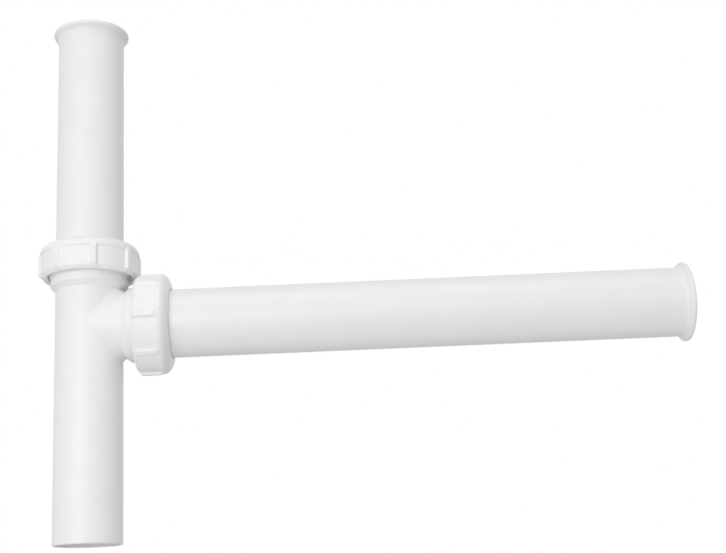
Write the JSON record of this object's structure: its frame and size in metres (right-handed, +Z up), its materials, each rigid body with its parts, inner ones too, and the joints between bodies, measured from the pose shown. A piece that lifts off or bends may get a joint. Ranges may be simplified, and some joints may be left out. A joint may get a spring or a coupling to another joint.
{
  "type": "disposer waste arm",
  "caption": "White plastic waste kit: a tee with a flanged tailpiece on top and a long flanged arm at its side, held by ribbed slip nuts, joins a sink disposer to one trap.",
  "frame": {"origin": "centre of the outlet end of the tee, where the spigot enters the trap", "axes": "+Z up along the tee and the tailpiece, +X along the arm towards the disposer, +Y to the back"},
  "size_m": [0.3593, 0.0574, 0.2983],
  "materials": {
    "tee_polypropylene": "moulded, satin",
    "tube_polypropylene": "moulded, satin",
    "nut_polypropylene": "moulded, satin",
    "washer_polyethylene": "natural, waxy"
  },
  "bodies": {
    "tee": {"tee": "tee_polypropylene"},
    "tailpiece": {"tailpiece": "tube_polypropylene"},
    "upper_washer": {"upper_washer": "washer_polyethylene"},
    "upper_nut": {"upper_nut": "nut_polypropylene"},
    "arm": {"arm": "tube_polypropylene"},
    "side_washer": {"side_washer": "washer_polyethylene"},
    "side_nut": {"side_nut": "nut_polypropylene"}
  },
  "joints": [
    {"name": "tailpiece_slide", "type": "slide", "parent": "tee", "child": "tailpiece", "axis": [0, 0, 1], "range_m": [0, 0.01]},
    {"name": "arm_slide", "type": "slide", "parent": "tee", "child": "arm", "axis": [1, 0, 0], "range_m": [0, 0.01]},
    {"name": "upper_washer_lift", "type": "slide", "parent": "tee", "child": "upper_washer", "axis": [0, 0, 1], "range_m": [0, 0.0089]},
    {"name": "upper_nut_turn", "type": "hinge", "parent": "upper_washer", "child": "upper_nut", "pos_m": [0, 0, 0.1565], "axis": [0, 0, 1], "range_deg": [0, 1440]},
    {"name": "side_washer_lift", "type": "slide", "parent": "tee", "child": "side_washer", "axis": [1, 0, 0], "range_m": [0, 0.0089]},
    {"name": "side_nut_turn", "type": "hinge", "parent": "side_washer", "child": "side_nut", "pos_m": [0.037, 0, 0.1195], "axis": [1, 0, 0], "range_deg": [0, 1440]}
  ],
  "couplings": [
    {"joint": "upper_washer_lift", "follows": "upper_nut_turn", "m_per_rad": 0.00035157},
    {"joint": "side_washer_lift", "follows": "side_nut_turn", "m_per_rad": 0.00035157}
  ]
}
